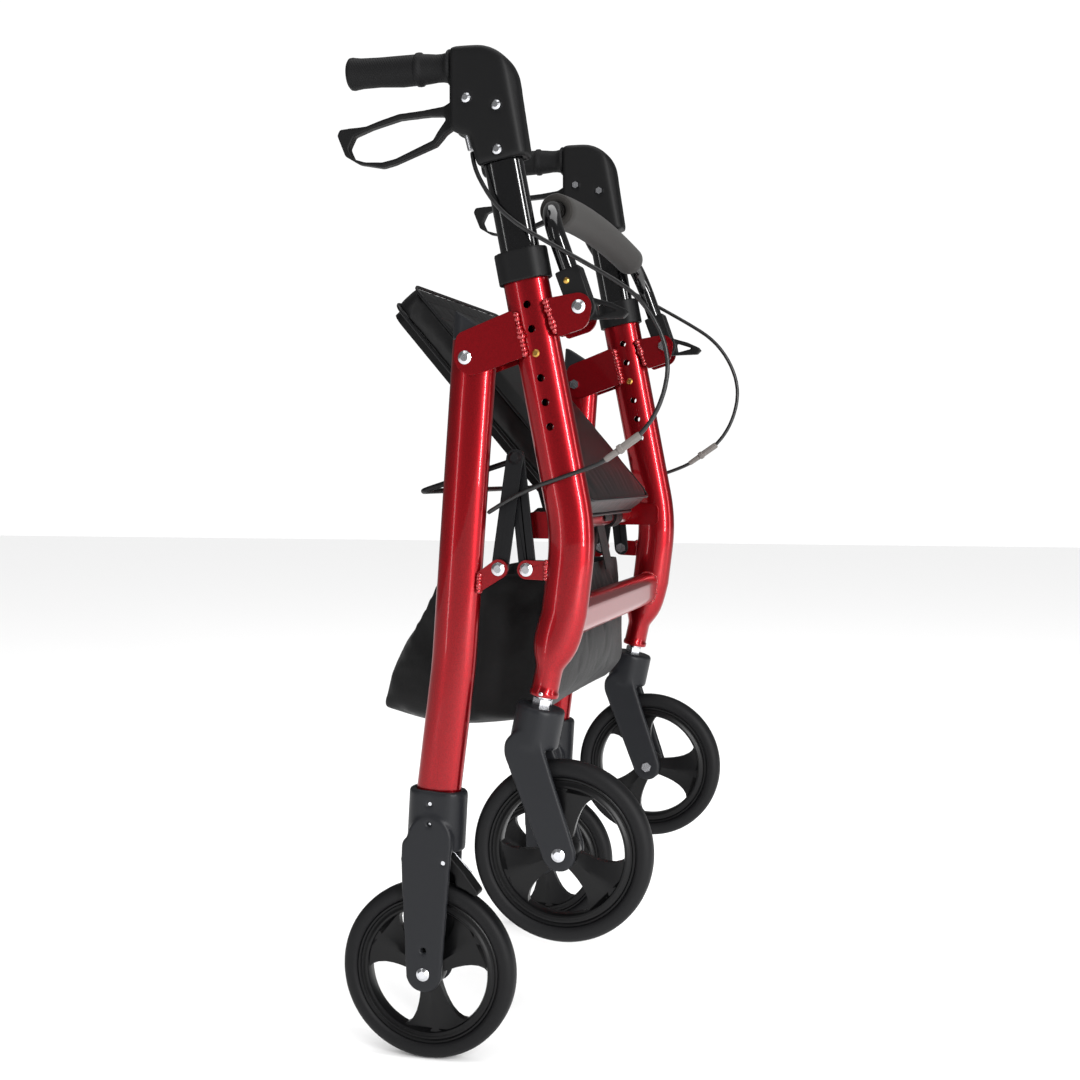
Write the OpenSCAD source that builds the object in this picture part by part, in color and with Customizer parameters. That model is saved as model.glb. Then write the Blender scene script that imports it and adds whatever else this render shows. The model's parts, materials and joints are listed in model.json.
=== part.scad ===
// Folding rollator walker with a padded seat, back bar and pouch, shown folded.
// Millimetres, +Z up, front towards -Y, floor at Z = 0, middle plane at X = 0.

/* [Frame] */
// Distance between the middle planes of the two side frames
side_spacing = 495; // [440:5:600]
// Depth of the front post's oval tube, front to back
post_depth = 48; // [40:1:58]
// Width of the front post's oval tube, side to side
post_width = 30; // [25:1:36]
// Wall of all frame tubes
tube_wall = 2; // [1.5:0.5:3]
// Backward lean of the front posts
post_lean = 11; // [6:0.5:16]
// Lean of the caster stems while the walker is folded
stem_lean = 12; // [8:0.5:14]
// Length of the straight part of the post above its bend
post_straight = 236; // [200:2:290]
// Radius of the post's bend
post_bend_r = 220; // [160:10:300]
// Depth of the rear leg's oval tube, front to back
leg_depth = 48; // [40:1:58]
// Height of the fold pivot above the top of the rear fork
leg_rise = 452; // [380:2:545]

/* [Wheels] */
// Diameter of all four wheels
wheel_d = 190; // [150:2:228]
// Width of the tyres
tyre_width = 25; // [20:1:32]
// Diameter of the axles
axle_d = 8; // [6:0.5:10]
// Distance of a caster's axle from its swivel axis
caster_trail = 54; // [45:1:65]

/* [Handles] */
// Spacing of the height holes
hole_pitch = 25.4; // [20:0.2:30.6]
// Diameter of the height holes
hole_d = 8; // [6.5:0.5:10]
// Length of the hand grips
grip_length = 112; // [94:1:136]
// Diameter of the hand grips
grip_d = 31; // [26:1:38]
// How far the handle tube stands out above the collar
handle_rise = 93; // [78:1:112]

/* [Seat and back] */
// Depth of the seat, front to back
seat_depth = 315; // [262:1:330]
// Width of the seat
seat_width = 356; // [296:2:428]
// Thickness of the cushion
cushion_t = 37; // [30:1:45]
// Thickness of the seat board
board_t = 8; // [6:1:10]
// Diameter of the back bar
bar_d = 19; // [16:1:22]
// Diameter of the foam sleeve on the back bar
foam_d = 36; // [30:1:43]

/* [Fold] */
// Length of each folding link between its bolts
link_length = 116; // [97:1:139]
// Diameter of the pivot bolts
bolt_d = 8; // [6:0.5:10]
// Thickness of the bracket plates
plate_t = 3; // [2:0.5:4]

/* [Hidden] */
$fn = 64;

RED = [0.62, 0.05, 0.09];
BLACK = [0.08, 0.08, 0.09];
GREY = [0.2, 0.2, 0.21];
STEEL = [0.75, 0.75, 0.77];
BRASS = [0.8, 0.62, 0.3];

// Clearances: turning pins, parts that slide or pass, and soft parts
pin_gap = 0.06;
gap = 0.5;

// Side-plane places are [y, z]; a direction of lean a points up and back
function lean_dir(a) = [sin(a), cos(a)];
function ahead(a) = [-cos(a), sin(a)];

half = side_spacing / 2;
wheel_r = wheel_d / 2;
bolt_r = bolt_d / 2;
axle_r = axle_d / 2;
leg_width = post_width - 2;
fork_t = 6;
fork_gap = 4;
fork_x = tyre_width / 2 + fork_gap;
tube_in_housing = 24;
bag_half = half - 57.5;
bag_wall = 4;

// Rear wheel, fork and leg
rear_axle = [84, wheel_r];
fork_top = [73, 2 * wheel_r + 98];
fork_dir = (fork_top - rear_axle) / norm(fork_top - rear_axle);
pivot = [38, fork_top[1] + leg_rise];
leg_knee = [56, pivot[1] - 318];
leg_top = leg_knee + 336 * [-0.071, 1];
leg_foot = fork_top + (fork_top - leg_knee) * 50 / norm(fork_top - leg_knee);
leg_bend_r = 500;
leg_low_lean = atan2(leg_knee[0] - fork_top[0], leg_knee[1] - fork_top[1]);
leg_top_lean = atan2(leg_top[0] - leg_knee[0], leg_top[1] - leg_knee[1]);
leg_turn = leg_top_lean - leg_low_lean;
leg_bend_start = leg_knee - leg_bend_r * tan(leg_turn / 2) * lean_dir(leg_low_lean);
leg_bend_end = leg_knee + leg_bend_r * tan(leg_turn / 2) * lean_dir(leg_top_lean);
leg_bend_center = leg_bend_end - leg_bend_r * ahead(leg_top_lean);

// Front post: straight, bend, short straight, then a round neck on the stem axis
post_at_pivot = [pivot[0] - 75.5, pivot[1]];
post_dir = lean_dir(post_lean);
bend_start = post_at_pivot - 151 * post_dir;
post_top = bend_start + post_straight * post_dir;
bend_turn = post_lean + 7;
bend_center = bend_start - post_bend_r * ahead(post_lean);
bend_end = bend_center + post_bend_r * [-cos(7), -sin(7)];
low_dir = [-sin(7), cos(7)];
low_end = bend_end - 84 * low_dir;
stem_top = low_end + [11, -19];
stem_dir = [-sin(stem_lean), cos(stem_lean)];
neck_r = 14.2;
draw_in = 0.1;
// How far a straight run reaches into the bend that follows it
lap = 1;
neck_h = 30;
neck_foot = stem_top - neck_h * stem_dir;
stem_r = 6;
stem_h = 26;
nut_h = 12;
crown_top = neck_foot - nut_h * stem_dir;
crown_r = 24.5;
caster_drop = wheel_r + 46;
swivel_foot = crown_top - caster_drop * stem_dir;
caster_axle = swivel_foot + caster_trail * [-cos(stem_lean), -sin(stem_lean)];

// Cross members between the posts
bar_tall = 42;
bar_thick = 26;
bar_low = low_end + [-2, 29];
seat_axis = [pivot[0] - 66, pivot[1] - 173];
seat_axis_r = 11;
bag_top = seat_axis[1] - 52;

// Folding links: an isosceles pair over the two tabs' bolts
front_tab_bolt = pivot + [-61.5, -218.5];
rear_tab_bolt = pivot + [-32.8, -218];
tab_span = rear_tab_bolt - front_tab_bolt;
knee_rise = sqrt(link_length * link_length - tab_span * tab_span / 4);
knee = (front_tab_bolt + rear_tab_bolt) / 2 + knee_rise * [-tab_span[1], tab_span[0]] / norm(tab_span);
link_t = 4;
link_w = 18;
tab_t = 4;

// Height holes and handle
first_hole = post_at_pivot + 54 * post_dir;
button_at = first_hole - 2 * hole_pitch * post_dir;
collar_top = post_top + 26 * post_dir;
handle_base = collar_top + handle_rise * post_dir;
tube_depth = post_depth - 2 * tube_wall - 2.6;
tube_across = post_width - 2 * tube_wall - 2.6;
tube_low = post_at_pivot - 70 * post_dir;
housing_half = 18;
grip_start = handle_base + [54, 100];
grip_bore_r = 11;
lever_pin = handle_base + [35, 64];
screw_r = 3;
housing_screws = [[3, 55], [2, 10]];
adjuster_foot = [32, 13];
adjuster_x = 8;
adjuster_r = 4;
lever_t = 12;
button_r = hole_d / 2 - pin_gap;

// Back bar, in a plane that leans back over its bolts
back_lean = 20;
back_bolt = post_at_pivot + [-44.5, 49];
bar_r = bar_d / 2;
corner_r = 40;
corner_h = 74;
bow_angle = 6.9;
bow_r = corner_r + (half - corner_r) / sin(bow_angle);
bow_h = corner_h - (bow_r - corner_r) * cos(bow_angle);
lap_angle = lap / bow_r * 180 / PI;
foam_half = half - 47;

// Seat, in a frame that turns about the upper crossbar
seat_slope = 49.65;
seat_front = -14;
board_low = 12;

// Brake shoe
shoe_pin = rear_axle + [-22, wheel_r + 24];
shoe_pin_r = 2.5;
shoe_gap = 3;

// Hoop
wire_r = 3;
hoop_x = half - post_width / 2 - wire_r - 1;
wire_bend = 8;
hoop_corner = knee + [109, -35];

// Brake cable from the handle round to the rear leg, as [outward, y, z]
cable_r = 2.5;
cable_points = [
    [8, 33, 951.5], [11, 29, 935], [17, 19, 916], [20, 2, 892], [21, -24, 870], [22, -60, 849],
    [24, -105, 823], [26, -142, 798], [27, -166, 764], [27, -175, 727], [26, -166, 688],
    [25, -145, 658], [24, -111, 634], [22, -72, 619], [17, -36, 607], [14, -8, 594], [11, 16, 580]];

module stadium(depth, width) {
    square([width, depth - width], center = true);
    for (k = [-1, 1]) translate([0, k * (depth - width) / 2]) circle(d = width);
}

// The section of an oval tube, or of a solid bar when wall is 0
module section(depth, width, wall) {
    difference() {
        stadium(depth, width);
        if (wall > 0) stadium(depth - 2 * wall, width - 2 * wall);
    }
}

// Puts a shape drawn for the left side on either side; x counts outward there
module on_side(s) {
    mirror([s < 0 ? 1 : 0, 0, 0]) translate([half, 0, 0]) children();
}

// Draws a [y, z] outline as a plate from x to x + t
module plate(x, t) {
    translate([x, 0, 0]) rotate([90, 0, 90]) linear_extrude(t) children();
}

// Places children at a side-plane point with +Z along the direction dir
module along(p, dir) {
    translate([0, p[0], p[1]]) rotate([atan2(-dir[0], dir[1]), 0, 0]) children();
}

// A round pin across the side frame from x to x + h
module cross_pin(p, r, x, h) {
    translate([x, p[0], p[1]]) rotate([0, 90, 0]) cylinder(r = r, h = h);
}

// A bolt across the side frame: a domed head outside x1, a hexagon nut inside x0
module cross_bolt(p, r, x0, x1, rim = 3) {
    cross_pin(p, r, x0, x1 - x0);
    translate([x1, p[0], p[1]]) rotate([0, 90, 0]) {
        cylinder(r = r + rim, h = 1.5);
        translate([0, 0, 1.5]) cylinder(r1 = r + rim, r2 = r, h = 2);
    }
    translate([x0 - 3.5, p[0], p[1]]) rotate([0, 90, 0]) cylinder(r = r + rim - 0.4, h = 3.5, $fn = 6);
}

// A rounded outline round a list of [y, z, radius] corners
module rounded(corners) {
    hull() for (c = corners) translate([c[0], c[1]]) circle(r = c[2], $fn = 32);
}

// An oval tube from p to q in the side plane
module tube_run(p, q, depth, width, wall) {
    along(p, (q - p) / norm(q - p)) linear_extrude(norm(q - p)) section(depth, width, wall);
}

// The bend of an oval tube, drawn in slightly all round as a bent tube is
module tube_bend(center, r, turn, top_lean, depth, width) {
    translate([0, center[0], center[1]]) rotate([90, 0, 90])
        rotate_extrude(angle = turn, start = 180 - top_lean, $fn = 180)
        translate([r, 0]) rotate(90) section(depth - 2 * draw_in, width - 2 * draw_in, tube_wall - 2 * draw_in);
}

module post(s) {
    color(RED) on_side(s) difference() {
        union() {
            tube_run(bend_start, post_top, post_depth, post_width, tube_wall);
            tube_bend(bend_center, post_bend_r, bend_turn, post_lean, post_depth, post_width);
            tube_run(low_end, bend_end, post_depth, post_width, tube_wall);
            hull() {
                along(low_end, low_dir) translate([0, 0, -1]) linear_extrude(1, $fn = 32)
                    stadium(post_depth - 2 * draw_in, post_width - 2 * draw_in);
                along(stem_top, stem_dir) translate([0, 0, -1]) cylinder(r = neck_r + 0.8, h = 1, $fn = 32);
            }
            along(neck_foot, stem_dir) cylinder(r = neck_r, h = neck_h + 2);
        }
        for (k = [0 : 5])
            cross_pin(first_hole - k * hole_pitch * post_dir, hole_d / 2, -post_width, 2 * post_width);
        along(neck_foot, stem_dir) translate([0, 0, -1]) cylinder(r = stem_r + pin_gap, h = stem_h + 3);
    }
}

// The post's outer shape where brackets and tabs are welded to it
module post_solid() {
    tube_run(bend_start, post_top, post_depth, post_width, 0);
}

module crossbar_lower() {
    color(RED) along(bar_low, low_dir) translate([-half + post_width / 2, 0, 0]) rotate([90, 0, 90])
        linear_extrude(side_spacing - post_width) section(bar_tall, bar_thick, tube_wall);
}

module crossbar_upper() {
    span = half - post_width / 2 - tab_t;
    color(RED) {
        difference() {
            cross_pin(seat_axis, seat_axis_r, -span, 2 * span);
            cross_pin(seat_axis, seat_axis_r - tube_wall, -half, side_spacing);
        }
        for (s = [-1, 1]) on_side(s) plate(-post_width / 2 - tab_t, tab_t) rounded([
            [seat_axis[0], seat_axis[1], seat_axis_r + 3],
            [seat_axis[0] - 40, seat_axis[1] + 6, 8], [seat_axis[0] - 40, seat_axis[1] - 6, 8]]);
    }
}

// A U-shaped bracket: two plates, and a web that sits against the post
module bracket(corners, web, bolt) {
    inner = post_width / 2;
    difference() {
        union() {
            for (x = [inner, -inner - plate_t]) plate(x, plate_t) rounded(corners);
            plate(-inner, 2 * inner) rounded(web);
        }
        post_solid();
        cross_pin(bolt, bolt_r, -post_width, 2 * post_width);
    }
}

// A point on the post's rear face (side -1) or front face (side 1), h above the pivot's level
function post_face(h, side) = post_at_pivot + h * post_dir + side * post_depth / 2 * ahead(post_lean);

module rear_bracket(s) {
    face = post_at_pivot + [post_depth / 2, 0];
    web_top = post_face(44, -1);
    web_low = post_face(6, -1);
    color(RED) on_side(s) bracket(
        [[face[0] + 4, face[1] + 42, 4], [face[0] - 6, face[1] + 2, 4],
        [pivot[0], pivot[1] + 17, 10], [pivot[0] - 8, pivot[1] + 2, 20]],
        [[web_top[0] + 1, web_top[1], 2.5], [web_low[0] + 1, web_low[1], 2.5]], pivot);
}

module front_bracket(s) {
    face = back_bolt + [24, 0];
    color(RED) on_side(s) bracket(
        [[face[0] + 5, face[1] + 6, 4], [face[0] - 6, face[1] - 25, 4],
        [back_bolt[0] + 1, back_bolt[1] + 0, 14], [back_bolt[0] + 3, back_bolt[1] - 10, 14]],
        [[face[0] + 5, face[1] + 6, 2], [face[0] - 1, face[1] - 25, 2]], back_bolt);
}

module front_tabs() {
    color(RED) for (s = [-1, 1]) on_side(s) difference() {
        plate(0, tab_t) rounded([
            [front_tab_bolt[0], front_tab_bolt[1], 10], [front_tab_bolt[0] - 24, front_tab_bolt[1] - 1, 10]]);
        cross_pin(front_tab_bolt, bolt_r, -10, 20);
        tube_run(low_end, bend_end + 30 * low_dir, post_depth, post_width, 0);
    }
}

module collar(s) {
    color(BLACK) on_side(s) along(post_top, post_dir) difference() {
        translate([0, 0, -6]) linear_extrude(32) stadium(post_depth + 8, post_width + 8);
        translate([0, 0, -7]) linear_extrude(7) stadium(post_depth, post_width);
        translate([0, 0, -1]) linear_extrude(30) stadium(tube_depth + 2 * gap, tube_across + 2 * gap);
    }
}

module frame_bolts() {
    outer = post_width / 2 + plate_t;
    color(STEEL) for (s = [-1, 1]) on_side(s) {
        cross_bolt(pivot, bolt_r, -outer, outer);
        cross_bolt(back_bolt, bolt_r, -outer, outer);
        cross_bolt(front_tab_bolt, bolt_r, -gap - link_t - gap, tab_t);
    }
}

// The pouch's side outline, drawn down from its top edge
module bag_outline() {
    polygon([[-30, 0], [-36, -135], [-16, -159], [86, -171], [160, -155], [150, -115], [92, -7]]);
}

module bag() {
    color(BLACK) {
        difference() {
            translate([0, 0, bag_top]) plate(-bag_half, 2 * bag_half) bag_outline();
            translate([0, 0, bag_top]) plate(-bag_half + bag_wall, 2 * bag_half - 2 * bag_wall)
                offset(delta = -bag_wall) bag_outline();
            translate([0, 0, bag_top]) plate(-bag_half + bag_wall, 2 * bag_half - 2 * bag_wall)
                polygon([[-25, -15], [-25, 5], [84, 5], [84, -15]]);
        }
        for (x = [-100, 60]) difference() {
            plate(x, 40) rounded([[seat_axis[0], seat_axis[1], seat_axis_r + 2.5], [seat_axis[0], bag_top - 1, 1]]);
            cross_pin(seat_axis, seat_axis_r, x - 5, 50);
        }
    }
}

module handle_tube(s) {
    color(BLACK) on_side(s) difference() {
        along(tube_low, post_dir) linear_extrude(norm(handle_base - tube_low) + tube_in_housing)
            section(tube_depth, tube_across, tube_wall);
        // Slots that stay clear of the push-button at every height
        hull() for (k = [-2.2, 3.2])
            cross_pin(button_at - k * hole_pitch * post_dir, hole_d / 2 + 1.5, -post_width, 2 * post_width);
        for (p = housing_screws) cross_pin(handle_base + p, screw_r, -post_width, 2 * post_width);
    }
}

// Cable adjuster that stands in the housing's back edge
module adjuster(r) {
    along(handle_base + adjuster_foot, lean_dir(14)) translate([adjuster_x, 0, 0]) cylinder(r = r, h = 17);
}

module housing_outline() {
    translate(handle_base) {
        translate([28, 72]) circle(r = 46);
        polygon([[-18, 72], [-28, 5], [24, -5], [33, 27], [44, 73], [48, 85], [54, 87], [54, 118], [28, 118]]);
    }
}

module housing(s) {
    color(BLACK) on_side(s) difference() {
        union() {
            intersection() {
                plate(-housing_half, 2 * housing_half) intersection() {
                    housing_outline();
                    translate(handle_base + [-30, -6]) square([84, 124.1]);
                }
                // Front edges cut back where the housing passes the back bar
                along(handle_base, post_dir) translate([0, 0, -40]) linear_extrude(220) polygon([
                    [housing_half, 90], [housing_half, -23], [housing_half - 9, -32],
                    [9 - housing_half, -32], [-housing_half, -23], [-housing_half, 90]]);
            }
            translate([0, grip_start[0] - 6, grip_start[1]]) rotate([-90, 0, 0])
                cylinder(r = grip_bore_r, h = grip_length - 2);
        }
        along(tube_low, post_dir) linear_extrude(norm(handle_base - tube_low) + tube_in_housing)
            stadium(tube_depth, tube_across);
        // Slot for the brake lever's head
        plate(-lever_t / 2 - gap, lever_t + 2 * gap) translate(handle_base + [19, 29]) square([40, 56]);
        cross_pin(lever_pin, screw_r, -30, 60);
        for (p = housing_screws) cross_pin(handle_base + p, screw_r, -30, 60);
        adjuster(adjuster_r);
    }
}

module grip(s) {
    r = grip_d / 2;
    color(BLACK) on_side(s) translate([0, grip_start[0], grip_start[1]]) rotate([-90, 0, 0]) rotate_extrude()
        polygon([[grip_bore_r, 0], [r + 3, 0], [r + 3, 3], [r - 1, 14], [r, 34], [r + 1.5, 36], [r, 38],
            [r, grip_length - 6], [r + 1, grip_length], [r - 1.5, grip_length + 2], [0, grip_length + 2],
            [0, grip_length - 8], [grip_bore_r, grip_length - 8]]);
}

module handle_bolts(s) {
    color(STEEL) on_side(s) {
        cross_bolt(lever_pin, screw_r, -housing_half, housing_half, 2);
        for (p = housing_screws) cross_bolt(handle_base + p, screw_r, -housing_half, housing_half, 2);
        adjuster(adjuster_r);
    }
}

module brake_lever(s) {
    color(BLACK) on_side(s) difference() {
        plate(-lever_t / 2, lever_t) translate(handle_base) difference() {
            union() {
                translate([35, 64]) circle(r = 11);
                polygon([[40, 73], [63, 60], [86, 57], [112, 55], [134, 49], [149, 44], [168, 43], [178, 42],
                    [181, 36], [172, 14], [157, 5], [131, 0], [118, 3], [72, 20], [61, 32], [48, 40], [38, 35],
                    [30, 56]]);
            }
            polygon([[162, 34], [143, 41], [112, 49], [79, 51], [63, 50], [61, 46], [70, 34], [75, 26],
                [116, 9], [131, 6], [150, 7], [163, 11], [168, 22]]);
        }
        cross_pin(lever_pin, screw_r + pin_gap, -20, 40);
    }
}

// Spring button in the post's third hole, on the right-hand face of either post
module push_button(s) {
    wall_in = post_width / 2 - tube_wall;
    color(BRASS) on_side(s) mirror([s > 0 ? 1 : 0, 0, 0]) {
        cross_pin(button_at, button_r + 1, wall_in - 0.9, 0.8);
        cross_pin(button_at, button_r, wall_in - 0.1, tube_wall + 2.1);
        translate([post_width / 2 + 2, button_at[0], button_at[1]]) rotate([0, 90, 0])
            cylinder(r1 = button_r, r2 = button_r - 1.5, h = 1.5);
    }
}

module rear_leg(s) {
    color(RED) on_side(s) difference() {
        union() {
            tube_run(leg_foot, leg_bend_start + lap * lean_dir(leg_low_lean), leg_depth, leg_width, tube_wall);
            tube_bend(leg_bend_center, leg_bend_r, leg_turn, leg_top_lean, leg_depth, leg_width);
            tube_run(leg_bend_end - lap * lean_dir(leg_top_lean), leg_top, leg_depth, leg_width, tube_wall);
            difference() {
                cross_pin(pivot, bolt_r + 3, -leg_width / 2, leg_width);
                cross_pin(pivot, bolt_r, -leg_width, 2 * leg_width);
            }
        }
        cross_pin(pivot, bolt_r + pin_gap, -leg_width, 2 * leg_width);
    }
}

// Sloping plastic plug on top of the rear leg
module leg_cap(s) {
    up = (leg_top - leg_knee) / norm(leg_top - leg_knee);
    color(BLACK) on_side(s) intersection() {
        along(leg_top, up) linear_extrude(60) stadium(leg_depth, leg_width);
        plate(-leg_width, 2 * leg_width) translate(leg_top)
            polygon([[-30, -4], [30, -4], [30, 26], [25, 32], [18, 31], [-28, 1]]);
    }
}

module rear_tab(s) {
    color(RED) on_side(s) difference() {
        plate(link_t + 2 * gap, tab_t) rounded([
            [rear_tab_bolt[0], rear_tab_bolt[1], 10], [rear_tab_bolt[0] + 24, rear_tab_bolt[1] - 16, 9]]);
        cross_pin(rear_tab_bolt, bolt_r, -20, 40);
        tube_run(leg_foot, leg_knee, leg_depth, leg_width, 0);
        tube_run(leg_knee, leg_top, leg_depth, leg_width, 0);
    }
}

module rear_fork(s) {
    color(GREY) on_side(s) difference() {
        union() {
            along(fork_top, fork_dir) translate([0, 0, -62]) linear_extrude(62) stadium(61, 40);
            plate(-fork_x - fork_t, 2 * (fork_x + fork_t)) rounded([
                [fork_top[0] - 2, fork_top[1] - 72, 9], [fork_top[0] + 26, fork_top[1] - 72, 9],
                [fork_top[0] - 2, fork_top[1] - 58, 9], [fork_top[0] + 25, fork_top[1] - 58, 9]]);
            for (x = [fork_x, -fork_x - fork_t]) plate(x, fork_t) rounded([
                [rear_axle[0], rear_axle[1], 19], [rear_axle[0] - 2, fork_top[1] - 76, 26],
                [fork_top[0] + 4, fork_top[1] - 50, 24]]);
        }
        tube_run(leg_foot, leg_knee, leg_depth, leg_width, 0);
        // Room between the fork's legs for the tyre and the brake shoe
        plate(-fork_x, 2 * fork_x) translate(shoe_pin + [-30, -40]) square([90, 48]);
        cross_pin(rear_axle, axle_r, -40, 80);
        cross_pin(rear_axle + [0, 25], axle_r - 0.5, -40, 80);
        cross_pin(shoe_pin, shoe_pin_r, -40, 80);
        for (z = [13, 34]) cross_pin(fork_top + [4, -z], 3, 0, 40);
    }
}

module rear_bolts(s) {
    outer = fork_x + fork_t;
    color(STEEL) on_side(s) {
        cross_bolt(rear_axle, axle_r, -outer, outer);
        cross_bolt(rear_tab_bolt, bolt_r, -gap, link_t + 2 * gap + tab_t);
        cross_pin(shoe_pin, shoe_pin_r, -outer, 2 * outer);
        for (z = [13, 34]) cross_pin(fork_top + [4, -z], 3, leg_width / 2, 4.5);
    }
}

// A wheel about the X axis with three flared spokes; turn sets where they stand
module wheel(p, turn) {
    hub_half = fork_x - gap;
    translate([0, p[0], p[1]]) rotate([0, 90, 0]) difference() {
        union() {
            rotate_extrude() polygon([
                [wheel_r - 16, -tyre_width / 2 + 2], [wheel_r - 7, -tyre_width / 2],
                [wheel_r - 2, -tyre_width / 2 + 4], [wheel_r, -tyre_width / 2 + 9],
                [wheel_r, tyre_width / 2 - 9], [wheel_r - 2, tyre_width / 2 - 4],
                [wheel_r - 7, tyre_width / 2], [wheel_r - 16, tyre_width / 2 - 2]]);
            difference() {
                cylinder(r = wheel_r - 15, h = tyre_width - 5, center = true);
                for (z = [3, -3 - tyre_width]) translate([0, 0, z]) cylinder(r = wheel_r - 24, h = tyre_width);
                for (k = [0 : 2]) rotate(turn + 120 * k) linear_extrude(tyre_width, center = true) hull() {
                    translate([24, 0]) circle(r = 5, $fn = 32);
                    for (a = [-22, 22]) rotate(a) translate([wheel_r - 30, 0]) circle(r = 5, $fn = 32);
                }
            }
            cylinder(r = 15, h = 2 * hub_half, center = true);
        }
        cylinder(r = axle_r + pin_gap, h = 60, center = true);
    }
}

module rear_wheel(s) {
    color(BLACK) on_side(s) wheel(rear_axle, 177);
}

module brake_shoe(s) {
    color(BLACK) on_side(s) difference() {
        plate(-10, 20) difference() {
            union() {
                rounded([[shoe_pin[0], shoe_pin[1], 6], [shoe_pin[0] - 14, shoe_pin[1] - 14, 5]]);
                rounded([[shoe_pin[0] - 14, shoe_pin[1] - 14, 5], [rear_axle[0] - 52, rear_axle[1] + 86, 4],
                    [rear_axle[0] - 36, rear_axle[1] + 96, 5]]);
            }
            translate(rear_axle) circle(r = wheel_r + shoe_gap, $fn = 180);
        }
        cross_pin(shoe_pin, shoe_pin_r + pin_gap, -40, 80);
    }
}

module link_bar(p, x) {
    plate(x, link_t) rounded([[p[0], p[1], link_w / 2], [knee[0], knee[1], link_w / 2]]);
}

module front_link(s) {
    color(GREY) on_side(s) difference() {
        link_bar(front_tab_bolt, -gap - link_t);
        cross_pin(front_tab_bolt, bolt_r + pin_gap, -20, 40);
        cross_pin(knee, wire_r + pin_gap, -20, 40);
    }
}

module rear_link(s) {
    color(GREY) on_side(s) {
        difference() {
            link_bar(rear_tab_bolt, gap);
            cross_pin(rear_tab_bolt, bolt_r + pin_gap, -20, 40);
        }
        translate([gap + link_t, knee[0], knee[1]]) rotate([0, 90, 0])
            cylinder(r1 = bolt_r + 3, r2 = bolt_r, h = 3.5);
    }
}

// Draws in the plane of the hoop: X across, +Z from the knees towards the rear rail
module in_hoop() {
    along(knee, (hoop_corner - knee) / norm(hoop_corner - knee)) children();
}

module hoop() {
    reach = norm(hoop_corner - knee);
    span = hoop_x - wire_bend;
    color(BLACK) in_hoop() {
        translate([-span, 0, reach]) rotate([0, 90, 0]) cylinder(r = wire_r, h = 2 * span);
        for (s = [-1, 1]) mirror([s < 0 ? 1 : 0, 0, 0]) {
            translate([hoop_x, 0, wire_bend]) cylinder(r = wire_r, h = reach - 2 * wire_bend);
            translate([span, 0, reach - wire_bend]) rotate([90, 0, 0]) rotate_extrude(angle = 90)
                translate([wire_bend, 0]) circle(r = wire_r - draw_in);
            translate([hoop_x + wire_bend, 0, wire_bend]) rotate([90, 0, 0]) rotate_extrude(angle = 90, start = 180)
                translate([wire_bend, 0]) circle(r = wire_r - draw_in);
            translate([hoop_x + wire_bend, 0, 0]) rotate([0, 90, 0])
                cylinder(r = wire_r, h = half - gap - hoop_x - wire_bend);
        }
    }
}

// Draws in a caster's own frame: origin on the swivel axis at axle height, +Z up the stem
module in_caster(s) {
    on_side(s) along(swivel_foot, stem_dir) children();
}

module caster_fork(s) {
    color(GREY) in_caster(s) difference() {
        union() {
            translate([0, 0, caster_drop - 40]) cylinder(r = crown_r, h = 40);
            for (x = [fork_x, -fork_x - fork_t]) plate(x, fork_t) rounded([
                [-caster_trail, 0, 17], [5, caster_drop - 45, 20]]);
        }
        translate([0, 0, caster_drop - 60]) cylinder(r = stem_r, h = 80);
        translate([0, -caster_trail, 0]) rotate([0, 90, 0]) cylinder(r = axle_r, h = 80, center = true);
    }
}

module caster_stem(s) {
    color(STEEL) in_caster(s) {
        translate([0, 0, caster_drop - 40]) cylinder(r = stem_r, h = 40 + nut_h + stem_h);
        translate([0, 0, caster_drop]) cylinder(r = 10.5, h = nut_h - 3, $fn = 6);
        translate([0, 0, caster_drop + nut_h - 3]) cylinder(r = 8, h = 2.5);
        cross_bolt([-caster_trail, 0], axle_r, -fork_x - fork_t, fork_x + fork_t);
    }
}

module caster_wheel(s) {
    color(BLACK) on_side(s) wheel(caster_axle, s < 0 ? 120 : 100);
}

module in_seat() {
    translate([0, seat_axis[0], seat_axis[1]]) rotate([seat_slope, 0, 0]) children();
}

module pad(x_half, y0, y1, r) {
    hull() for (x = [-x_half + r, x_half - r], y = [y0 + r, y1 - r]) translate([x, y]) circle(r = r, $fn = 32);
}

module seat_cushion() {
    color(BLACK) in_seat() translate([0, 0, board_low + board_t]) linear_extrude(cushion_t)
        pad(seat_width / 2, seat_front, seat_front + seat_depth, 24);
}

module seat_board() {
    color(GREY) in_seat() {
        translate([0, 0, board_low]) linear_extrude(board_t)
            pad(seat_width / 2 - 8, 20, seat_front + seat_depth - 8, 20);
        for (x = [-160, 140]) difference() {
            translate([x, 0, 0]) rotate([90, 0, 90]) linear_extrude(20) union() {
                circle(r = seat_axis_r + 3.5);
                polygon([[0, 0], [14, 0], [40, board_low], [10, board_low]]);
            }
            translate([x - 5, 0, 0]) rotate([0, 90, 0]) cylinder(r = seat_axis_r + pin_gap, h = 40);
        }
    }
}

// Collars on the upper crossbar beside the board's hinge ears, with a lug under the seat
module seat_clamps() {
    color(GREY) in_seat() for (s = [-1, 1]) mirror([s < 0 ? 1 : 0, 0, 0]) difference() {
        translate([120, 0, 0]) rotate([90, 0, 90]) linear_extrude(19) union() {
            circle(r = seat_axis_r + 3.5);
            translate([0, -seat_axis_r - 3]) square([26, 8]);
        }
        translate([110, 0, 0]) rotate([0, 90, 0]) cylinder(r = seat_axis_r + pin_gap, h = 40);
    }
}

// Draws in the back bar's plane: X across, +Z up the bar from the bolts
module in_back() {
    along(back_bolt, lean_dir(back_lean)) children();
}

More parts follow.
